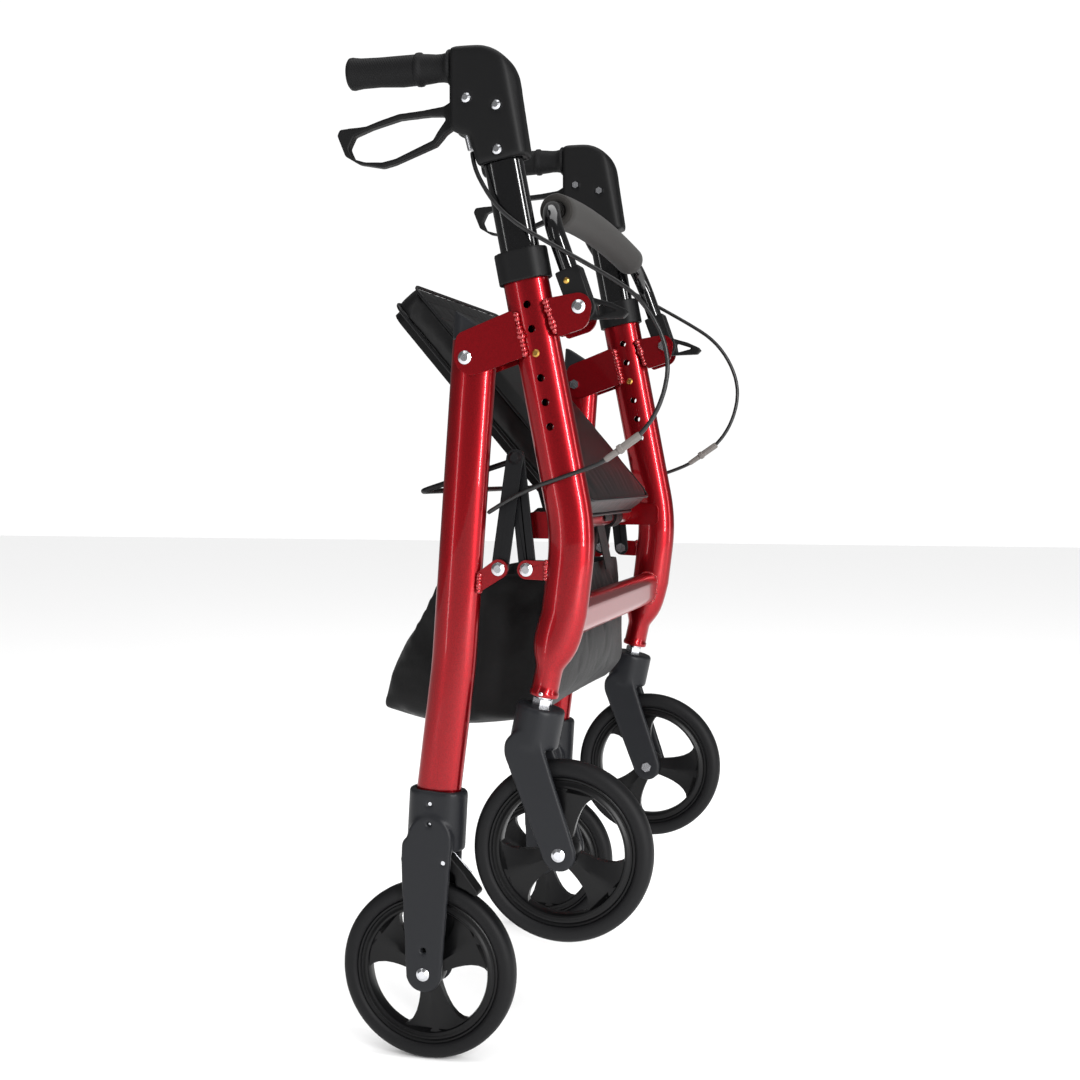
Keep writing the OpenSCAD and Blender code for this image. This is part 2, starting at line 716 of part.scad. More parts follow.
module back_arc(from, sweep, radius, center_x, center_z) {
    translate([center_x, 0, center_z]) rotate([90, 0, 0])
        rotate_extrude(angle = sweep, start = from, $fn = 180) translate([radius, 0]) children();
}

module back_bar() {
    color(BLACK) in_back() {
        for (s = [-1, 1]) mirror([s < 0 ? 1 : 0, 0, 0]) {
            translate([half, 0, 20]) cylinder(r = bar_r, h = corner_h - 20 + lap);
            back_arc(0, 90 - bow_angle, corner_r, half - corner_r, corner_h) circle(r = bar_r - draw_in);
        }
        back_arc(90 - bow_angle - lap_angle, 2 * (bow_angle + lap_angle), bow_r, 0, bow_h) circle(r = bar_r);
    }
}

module back_foam() {
    sweep = asin(foam_half / bow_r);
    color(GREY) in_back() back_arc(90 - sweep, 2 * sweep, bow_r, 0, bow_h) difference() {
        circle(d = foam_d);
        circle(r = bar_r);
    }
}

module back_socket(s) {
    color(BLACK) on_side(s) difference() {
        union() {
            along(back_bolt, lean_dir(back_lean)) plate(-13, 26) rounded([[0, 0, 12.5], [-11, 40, 2], [11, 40, 2]]);
            plate(-5, 10) translate(back_bolt) difference() {
                polygon([[-6, 12], [-30, 5], [-45, -2], [-48, -6], [-43, -11], [-6, -12]]);
                polygon([[-15, 4], [-37, -3], [-17, -8]]);
            }
        }
        along(back_bolt, lean_dir(back_lean)) translate([0, 0, 20]) cylinder(r = bar_r, h = 40);
        cross_pin(back_bolt, bolt_r + pin_gap, -20, 40);
    }
}

// A point on the smooth curve through the list p, t counted in list places
function curve_at(p, t) =
    let (
        i = min(floor(t), len(p) - 2), u = t - i,
        a = p[max(i - 1, 0)], b = p[i], c = p[i + 1], d = p[min(i + 2, len(p) - 1)])
    0.5 * (2 * b + (c - a) * u + (2 * a - 5 * b + 4 * c - d) * u * u + (3 * b - a - 3 * c + d) * u * u * u);

// A round cord along a list of points, as one closed sweep
module cord(path, r, sides = 8) {
    n = len(path);
    dirs = [for (i = [0 : n - 1]) let (d = path[min(i + 1, n - 1)] - path[max(i - 1, 0)]) d / norm(d)];
    rings = [for (i = [0 : n - 1]) let (
            e1 = cross(dirs[i], [1, 0, 0]), f1 = e1 / norm(e1), f2 = cross(dirs[i], f1))
        for (k = [0 : sides - 1]) path[i] + r * (cos(360 * k / sides) * f1 + sin(360 * k / sides) * f2)];
    faces = concat(
        [[for (k = [0 : sides - 1]) k]],
        [for (i = [0 : n - 2], k = [0 : sides - 1])
            [i * sides + k, (i + 1) * sides + k, (i + 1) * sides + (k + 1) % sides, i * sides + (k + 1) % sides]],
        [[for (k = [sides - 1 : -1 : 0]) (n - 1) * sides + k]]);
    polyhedron(points = rings, faces = faces);
}

module brake_cable(s) {
    steps = 38;
    color(BLACK) on_side(s)
        cord([for (i = [0 : steps]) curve_at(cable_points, i * (len(cable_points) - 1) / steps)], cable_r);
}

post(-1);  // post_r
post(1);  // post_l
crossbar_lower();
crossbar_upper();
rear_bracket(-1);  // rear_bracket_r
rear_bracket(1);  // rear_bracket_l
front_bracket(-1);  // front_bracket_r
front_bracket(1);  // front_bracket_l
front_tabs();
collar(-1);  // collar_r
collar(1);  // collar_l
frame_bolts();
bag();
handle_tube(-1);  // handle_tube_r
handle_tube(1);  // handle_tube_l
housing(-1);  // housing_r
housing(1);  // housing_l
grip(-1);  // grip_r
grip(1);  // grip_l
handle_bolts(-1);  // handle_bolts_r
handle_bolts(1);  // handle_bolts_l
brake_lever(-1);  // brake_lever_r
brake_lever(1);  // brake_lever_l
push_button(-1);  // push_button_r
push_button(1);  // push_button_l
rear_leg(-1);  // rear_leg_r
rear_leg(1);  // rear_leg_l
leg_cap(-1);  // leg_cap_r
leg_cap(1);  // leg_cap_l
rear_tab(-1);  // rear_tab_r
rear_tab(1);  // rear_tab_l
rear_fork(-1);  // rear_fork_r
rear_fork(1);  // rear_fork_l
rear_bolts(-1);  // rear_bolts_r
rear_bolts(1);  // rear_bolts_l
rear_wheel(-1);  // rear_wheel_r
rear_wheel(1);  // rear_wheel_l
brake_shoe(-1);  // brake_shoe_r
brake_shoe(1);  // brake_shoe_l
front_link(-1);  // front_link_r
front_link(1);  // front_link_l
rear_link(-1);  // rear_link_r
rear_link(1);  // rear_link_l
hoop();
caster_fork(-1);  // caster_fork_r
caster_fork(1);  // caster_fork_l
caster_stem(-1);  // caster_stem_r
caster_stem(1);  // caster_stem_l
caster_wheel(-1);  // caster_wheel_r
caster_wheel(1);  // caster_wheel_l
seat_cushion();
seat_board();
seat_clamps();
back_bar();
back_foam();
back_socket(-1);  // back_socket_r
back_socket(1);  // back_socket_l
brake_cable(-1);  // brake_cable_r
brake_cable(1);  // brake_cable_l
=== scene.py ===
"""Folding rollator walker: finishes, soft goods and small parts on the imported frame."""
import json
import math
import random

import bmesh
import bpy
from mathutils import Matrix, Vector


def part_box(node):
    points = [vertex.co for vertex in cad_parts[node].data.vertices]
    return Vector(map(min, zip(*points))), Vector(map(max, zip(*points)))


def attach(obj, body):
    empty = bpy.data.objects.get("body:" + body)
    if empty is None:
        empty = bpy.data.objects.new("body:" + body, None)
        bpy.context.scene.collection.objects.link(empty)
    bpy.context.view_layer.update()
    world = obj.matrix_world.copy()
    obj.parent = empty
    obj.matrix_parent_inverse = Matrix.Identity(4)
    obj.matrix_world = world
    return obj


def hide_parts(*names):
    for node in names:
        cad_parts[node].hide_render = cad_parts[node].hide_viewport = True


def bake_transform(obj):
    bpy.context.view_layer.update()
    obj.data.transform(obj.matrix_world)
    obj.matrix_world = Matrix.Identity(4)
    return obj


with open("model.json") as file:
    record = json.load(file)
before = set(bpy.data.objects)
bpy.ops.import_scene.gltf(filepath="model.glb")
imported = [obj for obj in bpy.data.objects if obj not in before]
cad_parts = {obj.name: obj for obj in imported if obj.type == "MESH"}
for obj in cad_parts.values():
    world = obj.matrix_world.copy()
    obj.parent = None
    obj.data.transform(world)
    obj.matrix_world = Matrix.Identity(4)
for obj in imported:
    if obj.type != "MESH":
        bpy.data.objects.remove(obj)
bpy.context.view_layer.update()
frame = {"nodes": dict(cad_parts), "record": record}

MM = 0.001
HALF = (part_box("rear_wheel_l")[0].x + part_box("rear_wheel_l")[1].x) / 2
SIDES = (("r", -1), ("l", 1))
joint_at = {j["name"]: Vector(j["pos_m"]) for j in frame["record"]["behaviour"]["joints"] if "pos_m" in j}
random.seed(7)


# ---------------------------------------------------------------- finishes
def linear(hex_colour):
    """An sRGB hex colour as linear RGBA."""
    values = [int(hex_colour[i:i + 2], 16) / 255 for i in (1, 3, 5)]
    return [v / 12.92 if v <= 0.04045 else ((v + 0.055) / 1.055) ** 2.4 for v in values] + [1.0]


def add(tree, kind, inputs=None, **settings):
    """Adds a shader node with its settings; inputs maps a socket to a value or to another node's output."""
    node = tree.nodes.new(kind)
    for key, value in settings.items():
        setattr(node, key, value)
    for key, value in (inputs or {}).items():
        if isinstance(value, bpy.types.NodeSocket):
            tree.links.new(value, node.inputs[key])
        else:
            node.inputs[key].default_value = value
    return node


def finish_of(name, colour, rough, metal=0.0, coat=0.0, coat_rough=0.03, ior=1.5, sheen=0.0):
    """A new material: its tree, its shader and the object coordinates."""
    material = bpy.data.materials.new(name)
    material.use_nodes = True
    tree = material.node_tree
    shader = tree.nodes["Principled BSDF"]
    shader.inputs["Base Color"].default_value = linear(colour)
    shader.inputs["Roughness"].default_value = rough
    shader.inputs["Metallic"].default_value = metal
    shader.inputs["Coat Weight"].default_value = coat
    shader.inputs["Coat Roughness"].default_value = coat_rough
    shader.inputs["IOR"].default_value = ior
    shader.inputs["Sheen Weight"].default_value = sheen
    place = add(tree, "ShaderNodeTexCoord").outputs["Object"]
    return material, tree, shader, place


def grain(tree, shader, place, size_mm, depth_mm, detail=3.0, strength=1.0, stretch=(1, 1, 1)):
    """Fine surface relief: bumps of size_mm across and depth_mm deep."""
    spot = add(tree, "ShaderNodeMapping", {"Vector": place, "Scale": stretch})
    noise = add(tree, "ShaderNodeTexNoise",
                {"Vector": spot.outputs[0], "Scale": 1000 / size_mm, "Detail": detail})
    bump = add(tree, "ShaderNodeBump",
               {"Height": noise.outputs[0], "Distance": depth_mm * MM, "Strength": strength})
    tree.links.new(bump.outputs[0], shader.inputs["Normal"])
    return noise.outputs[0]


def vary(tree, shader, place, colour_a, colour_b, size_mm):
    """Lets the colour drift between two close tones over size_mm."""
    noise = add(tree, "ShaderNodeTexNoise", {"Vector": place, "Scale": 1000 / size_mm, "Detail": 2.0})
    ramp = add(tree, "ShaderNodeValToRGB", {"Fac": noise.outputs[0]})
    ramp.color_ramp.elements[0].position = 0.35
    ramp.color_ramp.elements[1].position = 0.65
    ramp.color_ramp.elements[0].color = linear(colour_a)
    ramp.color_ramp.elements[1].color = linear(colour_b)
    tree.links.new(ramp.outputs[0], shader.inputs["Base Color"])


def make_candy_red():
    """Candy red powder coat over aluminium: a deep red with a clear gloss and a fine metal glint."""
    material, tree, shader, place = finish_of(
        "Candy red lacquer on aluminium", "#8c0612", 0.3, 0.85, 0.4, 0.03)
    vary(tree, shader, place, "#7f0510", "#950814", 1.2)
    grain(tree, shader, place, 0.8, 0.01, 1.0, 0.35)
    return material


def make_weld():
    """Aluminium weld bead under the same red coat: it is lumpy and bright on its ripples."""
    material, tree, shader, place = finish_of("Lacquered weld bead", "#960814", 0.26, 0.7, 1.0, 0.05)
    grain(tree, shader, place, 2.2, 0.5, 2.0, 0.8)
    return material


def make_black_gloss():
    """Black gloss paint on aluminium tube: nearly a mirror at grazing angles."""
    material, tree, shader, place = finish_of("Black gloss paint", "#040405", 0.16, 0.0, 0.6, 0.06)
    grain(tree, shader, place, 6, 0.02, 1.0, 0.3)
    return material


def make_black_steel():
    """Black powder-coated flat steel and wire: a dull satin."""
    material, tree, shader, place = finish_of("Black powder coat on steel", "#070709", 0.42, ior=1.3)
    grain(tree, shader, place, 0.9, 0.02, 2.0, 0.5)
    return material


def make_moulded():
    """Moulded glass-filled nylon: black with a fine spark-eroded grain."""
    material, tree, shader, place = finish_of("Moulded black nylon", "#060607", 0.5, ior=1.3)
    grain(tree, shader, place, 0.9, 0.03, 2.0, 0.6)
    return material


def make_charcoal():
    """Smooth moulded polypropylene: charcoal, slightly bluish, with soft broad highlights."""
    material, tree, shader, place = finish_of("Moulded charcoal polypropylene", "#17181b", 0.42, ior=1.3)
    grain(tree, shader, place, 1.2, 0.02, 2.0, 0.4)
    return material


def make_rim():
    """Moulded black rim plastic with a soft sheen."""
    material, tree, shader, place = finish_of("Moulded black rim plastic", "#060607", 0.36, ior=1.3)
    grain(tree, shader, place, 1.5, 0.02, 2.0, 0.4)
    return material


def make_tyre():
    """Solid polyurethane tyre: dull black, a little dusty."""
    material, tree, shader, place = finish_of("Solid polyurethane tyre", "#08080a", 0.58, ior=1.3)
    grain(tree, shader, place, 1.2, 0.03, 2.0, 0.5)
    return material


def make_grip_rubber():
    """Thermoplastic rubber with fine diagonal ribs, 2.2 mm apart."""
    material, tree, shader, place = finish_of("Ribbed grip rubber", "#09090a", 0.66, ior=1.28)
    turned = add(tree, "ShaderNodeMapping", {"Vector": place, "Rotation": (0.6, 0.0, 0.0)})
    wave = add(tree, "ShaderNodeTexWave", {"Vector": turned.outputs[0], "Scale": 1000 / 2.2 / 6.283 * 2,
                                           "Distortion": 0.4, "Detail": 0.0}, bands_direction="Y")
    noise = add(tree, "ShaderNodeTexNoise", {"Vector": place, "Scale": 900.0, "Detail": 2.0})
    height = add(tree, "ShaderNodeMath", {0: wave.outputs["Fac"], 1: noise.outputs[0]}, operation="ADD")
    bump = add(tree, "ShaderNodeBump", {"Height": height.outputs[0], "Distance": 0.25 * MM, "Strength": 0.6})
    tree.links.new(bump.outputs[0], shader.inputs["Normal"])
    return material


def make_zinc():
    """Zinc-plated steel: bright silver with faint turning marks."""
    material, tree, shader, place = finish_of("Bright zinc plate", "#c9cace", 0.24, 1.0)
    grain(tree, shader, place, 0.6, 0.01, 1.0, 0.4)
    return material


def make_brass():
    """Brass with a satin finish."""
    material, tree, shader, place = finish_of("Satin brass", "#b8914a", 0.3, 1.0)
    grain(tree, shader, place, 0.6, 0.01, 1.0, 0.4)
    return material


def make_vinyl():
    """PVC upholstery vinyl: black, a leather-like pebble about 1.4 mm across, satin sheen."""
    material, tree, shader, place = finish_of(
        "Black upholstery vinyl", "#070708", 0.44, coat=0.15, coat_rough=0.3, ior=1.3)
    cells = add(tree, "ShaderNodeTexVoronoi", {"Vector": place, "Scale": 1000 / 1.4})
    noise = add(tree, "ShaderNodeTexNoise", {"Vector": place, "Scale": 1000 / 30, "Detail": 3.0})
    mix = add(tree, "ShaderNodeMath", {0: cells.outputs["Distance"], 1: noise.outputs[0]}, operation="ADD")
    bump = add(tree, "ShaderNodeBump", {"Height": mix.outputs[0], "Distance": 0.12 * MM, "Strength": 0.5})
    tree.links.new(bump.outputs[0], shader.inputs["Normal"])
    return material


def make_piping():
    """Vinyl piping: the seat's own cover rolled over a cord."""
    material, tree, shader, place = finish_of("Black vinyl piping", "#08080a", 0.4, ior=1.3)
    grain(tree, shader, place, 1.4, 0.05, 2.0, 0.4)
    return material


def make_pouch_cloth():
    """Coated 600-denier polyester: black, a plain weave drawn at 1.2 mm so that it shows, soft creases."""
    material, tree, shader, place = finish_of("Woven black polyester", "#060607", 0.6, sheen=0.06, ior=1.3)
    bands = {"Vector": place, "Scale": 1000 / 1.2 / 6.283 * 2}
    warp = add(tree, "ShaderNodeTexWave", bands, bands_direction="X").outputs["Fac"]
    weft = add(tree, "ShaderNodeTexWave", bands, bands_direction="Z").outputs["Fac"]
    both = add(tree, "ShaderNodeMath", {0: warp, 1: weft}, operation="MULTIPLY")
    creases = add(tree, "ShaderNodeTexNoise", {"Vector": place, "Scale": 1000 / 45, "Detail": 4.0})
    weave = add(tree, "ShaderNodeBump", {"Height": both.outputs[0], "Distance": 0.12 * MM, "Strength": 0.5})
    bump = add(tree, "ShaderNodeBump", {"Height": creases.outputs[0], "Distance": 4 * MM, "Strength": 0.5,
                                        "Normal": weave.outputs[0]})
    tree.links.new(bump.outputs[0], shader.inputs["Normal"])
    return material


def make_foam():
    """Closed-cell foam rubber sleeve: dark grey, matte, with fine pores."""
    material, tree, shader, place = finish_of("Closed-cell foam rubber", "#211f1d", 0.8, ior=1.35, sheen=0.05)
    cells = add(tree, "ShaderNodeTexVoronoi", {"Vector": place, "Scale": 1000 / 1.1})
    bump = add(tree, "ShaderNodeBump",
               {"Height": cells.outputs["Distance"], "Distance": 0.15 * MM, "Strength": 0.5})
    tree.links.new(bump.outputs[0], shader.inputs["Normal"])
    return material


def make_cable():
    """PVC-sheathed brake cable: satin black."""
    material, tree, shader, place = finish_of("PVC cable sheath", "#070708", 0.38)
    grain(tree, shader, place, 1.0, 0.02, 1.0, 0.3)
    return material


def make_wire():
    """Bare stranded steel brake wire."""
    material, tree, shader, place = finish_of("Stranded steel wire", "#a5a6aa", 0.32, 1.0)
    grain(tree, shader, place, 0.7, 0.05, 1.0, 0.6)
    return material


def make_adjuster():
    """Grey acetal adjuster barrel with a waxy shine."""
    material, tree, shader, place = finish_of("Grey acetal", "#5d5855", 0.35)
    grain(tree, shader, place, 1.0, 0.02, 1.0, 0.3)
    return material


CANDY = make_candy_red()
WELD = make_weld()
GLOSS = make_black_gloss()
POWDER = make_black_steel()
NYLON = make_moulded()
CHARCOAL = make_charcoal()
RIM = make_rim()
TYRE = make_tyre()
GRIP = make_grip_rubber()
ZINC = make_zinc()
BRASS = make_brass()
VINYL = make_vinyl()
PIPING = make_piping()
POUCH = make_pouch_cloth()
FOAM = make_foam()
CABLE = make_cable()
WIRE = make_wire()
ADJUSTER = make_adjuster()

# Bodies that the new pieces ride on
BODY_OF = {node: body for body, nodes in frame["record"]["behaviour"]["bodies"].items() for node in nodes}


# ---------------------------------------------------------------- making pieces
def piece(name, bm, material, body, replaces=(), sharp=40):
    """Makes an object of a bmesh, smooth but for its sharp edges, and lets it ride on a body."""
    bmesh.ops.recalc_face_normals(bm, faces=bm.faces)
    mesh = bpy.data.meshes.new(name)
    bm.to_mesh(mesh)
    bm.free()
    return dress(name, mesh, material, body, replaces, sharp)


def dress(name, mesh, material, body, replaces=(), sharp=40):
    """Makes an object of a finished mesh, with its material and the body it rides on, if it rides on one."""
    mesh.materials.clear()
    mesh.materials.append(material)
    mesh.shade_smooth()
    mesh.set_sharp_from_angle(angle=math.radians(sharp))
    obj = bpy.data.objects.new(name, mesh)
    bpy.context.scene.collection.objects.link(obj)
    if body:
        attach(obj, body)
    if replaces:
        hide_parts(*replaces)
    return obj


def solid_of(bm_or_mesh, modifiers):
    """A new mesh: the given one with a list of (type, settings) modifiers applied."""
    mesh = bm_or_mesh
    if isinstance(bm_or_mesh, bmesh.types.BMesh):
        mesh = bpy.data.meshes.new("work")
        bm_or_mesh.to_mesh(mesh)
        bm_or_mesh.free()
    work = bpy.data.objects.new("work", mesh)
    bpy.context.scene.collection.objects.link(work)
    for kind, settings in modifiers:
        modifier = work.modifiers.new(kind, kind)
        for key, value in settings.items():
            setattr(modifier, key, value)
    bpy.context.view_layer.update()
    graph = bpy.context.evaluated_depsgraph_get()
    done = bpy.data.meshes.new_from_object(work.evaluated_get(graph), depsgraph=graph)
    bpy.data.objects.remove(work)
    return done


def copy_of(node):
    """A CAD node's mesh as a bmesh, its loose triangles joined."""
    bm = bmesh.new()
    bm.from_mesh(frame["nodes"][node].data)
    bmesh.ops.remove_doubles(bm, verts=bm.verts, dist=0.02 * MM)
    return bm


def moulded_copy(node, material, voxel_mm, rounds, swell_mm=0.0):
    """Replaces a CAD node by its own shape with moulded, rounded edges."""
    mesh = solid_of(copy_of(node), [
        ("REMESH", {"mode": "VOXEL", "voxel_size": voxel_mm * MM}),
        ("SMOOTH", {"factor": 0.5, "iterations": rounds}),
        ("DISPLACE", {"strength": swell_mm * MM, "mid_level": 0.0})])
    return dress("moulded_" + node, mesh, material, BODY_OF[node], (node,), 60)


def to_side(sx, x, y, z):
    """A point of a side frame, x counted outward from its middle plane, in millimetres."""
    return Vector((sx * (HALF + x * MM), y * MM, z * MM))


def lathe(bm, profile, origin, axis, steps=48):
    """Spins a [(along, radius)] profile in millimetres round an axis through origin."""
    turn = Vector((0, 0, 1)).rotation_difference(Vector(axis).normalized()).to_matrix().to_4x4()
    place = Matrix.Translation(origin) @ turn
    verts = [bm.verts.new(place @ Vector((r * MM, 0, a * MM))) for a, r in profile]
    edges = [bm.edges.new((verts[i], verts[i + 1])) for i in range(len(verts) - 1)]
    bmesh.ops.spin(bm, geom=verts + edges, cent=origin, axis=Vector(axis).normalized(),
                   angle=math.tau, steps=steps, use_merge=True)
    bmesh.ops.remove_doubles(bm, verts=bm.verts, dist=0.005 * MM)


def tube_curve(name, points, radius_mm, material, body, replaces=(), smooth=True):
    """A round cord through points, as a mesh made from a curve."""
    curve = bpy.data.curves.new(name, "CURVE")
    curve.dimensions = "3D"
    curve.bevel_depth = radius_mm * MM
    curve.bevel_resolution = 4
    curve.use_fill_caps = True
    curve.resolution_u = 8
    spline = curve.splines.new("NURBS" if smooth else "POLY")
    spline.points.add(len(points) - 1)
    for knot, p in zip(spline.points, points):
        knot.co = (p[0], p[1], p[2], 1)
    if smooth:
        spline.order_u = 4
        spline.use_endpoint_u = True
    work = bpy.data.objects.new("work", curve)
    bpy.context.scene.collection.objects.link(work)
    bpy.context.view_layer.update()
    graph = bpy.context.evaluated_depsgraph_get()
    mesh = bpy.data.meshes.new_from_object(work.evaluated_get(graph), depsgraph=graph)
    bpy.data.objects.remove(work)
    return dress(name, mesh, material, body, replaces, 60)


def bead(name, points, body, radius_mm=1.9, pitch_mm=3.2):
    """A weld bead: overlapping flattened drops along a line of points."""
    bm = bmesh.new()
    for a, b in zip(points, points[1:]):
        count = max(1, round((b - a).length / (pitch_mm * MM)))
        for i in range(count):
            spot = a.lerp(b, (i + 0.5) / count)
            swell = radius_mm * MM * random.uniform(0.85, 1.2)
            drop = bmesh.ops.create_icosphere(bm, subdivisions=2, radius=swell)["verts"]
            bmesh.ops.scale(bm, verts=drop, vec=Vector([random.uniform(0.85, 1.25) for _ in range(3)]))
            bmesh.ops.translate(bm, verts=drop, vec=spot)
    return piece(name, bm, WELD, body, sharp=80)


# ---------------------------------------------------------------- CAD nodes that keep their shape
def paint(nodes, material, bevel_mm=0.0):
    """Gives CAD nodes a finish, and worn-off edges where bevel_mm is set."""
    for node in nodes:
        obj = frame["nodes"][node]
        obj.data.materials.clear()
        obj.data.materials.append(material)
        if bevel_mm:
            weld = obj.modifiers.new("join", "WELD")
            weld.merge_threshold = 0.02 * MM
            edge = obj.modifiers.new("edges", "BEVEL")
            edge.width = bevel_mm * MM
            edge.segments = 2
            edge.limit_method = "ANGLE"
            edge.angle_limit = math.radians(50)


def both(*stems):
    """The names of the right and left node of each stem."""
    return [stem + "_" + s for stem in stems for s, _ in SIDES]


paint(["crossbar_lower", "crossbar_upper"], CANDY)
paint(both("rear_bracket", "front_bracket", "rear_tab") + ["front_tabs"], CANDY, 0.5)
paint(both("handle_tube") + ["back_bar"], GLOSS)
paint(both("front_link", "rear_link"), POWDER, 0.4)
paint(["hoop"], POWDER)
paint(["frame_bolts"] + both("handle_bolts", "rear_bolts", "caster_stem"), ZINC)
paint(both("push_button"), BRASS)
paint(["back_foam"], FOAM, 3.0)
paint(["seat_board", "seat_clamps"], NYLON)


# ---------------------------------------------------------------- moulded plastic
for s, sx in SIDES:
    moulded_copy("housing_" + s, NYLON, 1.8, 50, 0.6)
    moulded_copy("brake_lever_" + s, NYLON, 0.8, 22)
    moulded_copy("collar_" + s, NYLON, 1.0, 3)
    moulded_copy("back_socket_" + s, NYLON, 1.0, 6)
    moulded_copy("rear_fork_" + s, CHARCOAL, 1.5, 20, 0.9)
    moulded_copy("caster_fork_" + s, CHARCOAL, 1.5, 22, 1.1)
    moulded_copy("leg_cap_" + s, CHARCOAL, 1.0, 4)
    moulded_copy("brake_shoe_" + s, NYLON, 1.0, 5)


# ---------------------------------------------------------------- red oval tubes
def lean_dir(lean):
    """A step along a tube that leans back by so many degrees, as (y, z)."""
    return Vector((math.sin(math.radians(lean)), math.cos(math.radians(lean))))


def oval_tube(bm, sx, stations, count=56):
    """Bridges rounded oval rings, each (y, z, lean, depth, width, squareness), along a side frame."""
    loops = []
    for y, z, lean, depth, width, power in stations:
        front = Vector((0, -math.cos(math.radians(lean)), math.sin(math.radians(lean))))
        ring = []
        for k in range(count):
            c, n = math.cos(math.tau * k / count), math.sin(math.tau * k / count)
            ahead = math.copysign(abs(c) ** (2 / power), c) * depth / 2
            aside = math.copysign(abs(n) ** (2 / power), n) * width / 2
            ring.append(bm.verts.new(to_side(sx, 0, y, z) + front * ahead * MM + Vector((aside * MM, 0, 0))))
        loops.append([bm.edges.new((ring[i], ring[(i + 1) % count])) for i in range(count)])
    for a, b in zip(loops, loops[1:]):
        bmesh.ops.bridge_loops(bm, edges=a + b)


def bend(center, radius, lean_from, lean_to, steps):
    """Stations (y, z, lean) round a bend, its centre behind the tube."""
    out = []
    for k in range(steps + 1):
        lean = lean_from + (lean_to - lean_from) * k / steps
        angle = math.radians(lean)
        out.append((center[0] - radius * math.cos(angle), center[1] + radius * math.sin(angle), lean))
    return out


def drilled(bm, bores):
    """A tube with a 2 mm wall inside its skin and its bores cut: each bore is (centre, radius, length)."""
    bmesh.ops.recalc_face_normals(bm, faces=bm.faces)
    drill = bmesh.new()
    for centre, radius, length in bores:
        made = bmesh.ops.create_cone(drill, cap_ends=True, segments=32, radius1=radius * MM,
                                     radius2=radius * MM, depth=length * MM,
                                     matrix=Matrix.Rotation(math.pi / 2, 4, "Y"))
        bmesh.ops.translate(drill, verts=made["verts"], vec=centre)
    mesh = bpy.data.meshes.new("drill")
    drill.to_mesh(mesh)
    drill.free()
    tool = bpy.data.objects.new("drill", mesh)
    bpy.context.scene.collection.objects.link(tool)
    done = solid_of(bm, [("SOLIDIFY", {"thickness": 2 * MM, "offset": -1}),
                         ("BOOLEAN", {"object": tool, "operation": "DIFFERENCE", "solver": "EXACT"})])
    bpy.data.objects.remove(tool)
    return done


# Sizes and places of the side frame in millimetres, as (y, z), and leans in degrees
PIVOT = Vector((38, 740))
POST_LEAN, LOW_LEAN, STEM_LEAN = 11, -7, -12
POST_BEND_R, LEG_BEND_R = 220, 500
TUBE_DEPTH, POST_WIDTH, LEG_WIDTH, OVAL = 48, 30, 28, 2.08
HOLE_PITCH, HOLE_R, HOLES = 25.4, 4, 6
NECK_D = 28.4
FORK_TOP, LEG_KNEE, LEG_LENGTH = Vector((73, 288)), Vector((56, 422)), 336
POST_UP = lean_dir(POST_LEAN)
post_level = PIVOT - Vector((75.5, 0))
bend_top = post_level - 151 * POST_UP
bend_middle = bend_top + POST_BEND_R * Vector((POST_UP.y, -POST_UP.x))
low_up = lean_dir(LOW_LEAN)
bend_foot = bend_middle - POST_BEND_R * Vector((low_up.y, -low_up.x))
shoulder = bend_foot - 84 * low_up
neck_top = shoulder + Vector((11, -19))
neck_foot = neck_top - 30 * lean_dir(STEM_LEAN)
first_hole = post_level + 54 * POST_UP
post_oval = (TUBE_DEPTH, POST_WIDTH, OVAL)
stations = [(*(bend_top + h * POST_UP), POST_LEAN, *post_oval) for h in (236, 180, 120, 60)]
stations += [(*spot, *post_oval) for spot in bend(bend_middle, POST_BEND_R, POST_LEAN, LOW_LEAN, 14)]
stations += [(*(bend_foot - h * low_up), LOW_LEAN, *post_oval) for h in (16, 32)]
# The swaged shoulder: share of the way to the neck, depth, width
SWAGE = ((0, 48, 30), (0.15, 48.5, 30.2), (0.3, 48.8, 30.5), (0.45, 48.4, 30.8), (0.6, 46.5, 31), (0.72, 43, 31),
         (0.82, 38.5, 30.6), (0.9, 34, 30), (0.96, 30.8, 29.4), (1, 29.2, 29))
swage_top = bend_foot - 46 * low_up
for share, depth, width in SWAGE:
    lean = LOW_LEAN + (STEM_LEAN - LOW_LEAN) * share
    stations.append((*swage_top.lerp(neck_top, share), lean, depth, width, OVAL))
# The neck and its rolled lip
for share, size in ((0.12, NECK_D), (0.6, NECK_D), (0.8, NECK_D), (0.84, 30.2), (0.92, 31), (1, 30.2)):
    stations.append((*neck_top.lerp(neck_foot, share), STEM_LEAN, size, size, 2))

leg_slope = Vector((-0.071, 1))
leg_up = leg_slope.normalized()
leg_low = (LEG_KNEE - FORK_TOP).normalized()
low_lean, up_lean = [math.degrees(math.atan2(v.x, v.y)) for v in (leg_low, leg_up)]
reach = LEG_BEND_R * math.tan(math.radians(up_lean - low_lean) / 2)
knee_end = LEG_KNEE + reach * leg_up
knee_middle = knee_end + LEG_BEND_R * Vector((leg_up.y, -leg_up.x))
leg_oval = (TUBE_DEPTH, LEG_WIDTH, OVAL)
leg_stations = [(*(LEG_KNEE + h * leg_slope), up_lean, *leg_oval) for h in (LEG_LENGTH, 240, 140, 60)]
leg_stations += [(*spot, *leg_oval) for spot in bend(knee_middle, LEG_BEND_R, up_lean, low_lean, 6)]
leg_stations += [(*(FORK_TOP + h * leg_low), low_lean, *leg_oval) for h in (60, 0, -50)]

# Where the bracket plates are welded to the post: name, top and foot of the bead
PLATE_WELDS = [("weld_pivot", (-15.5, 785), (-26, 741)), ("weld_back", (-46.5, 797), (-57.5, 764))]

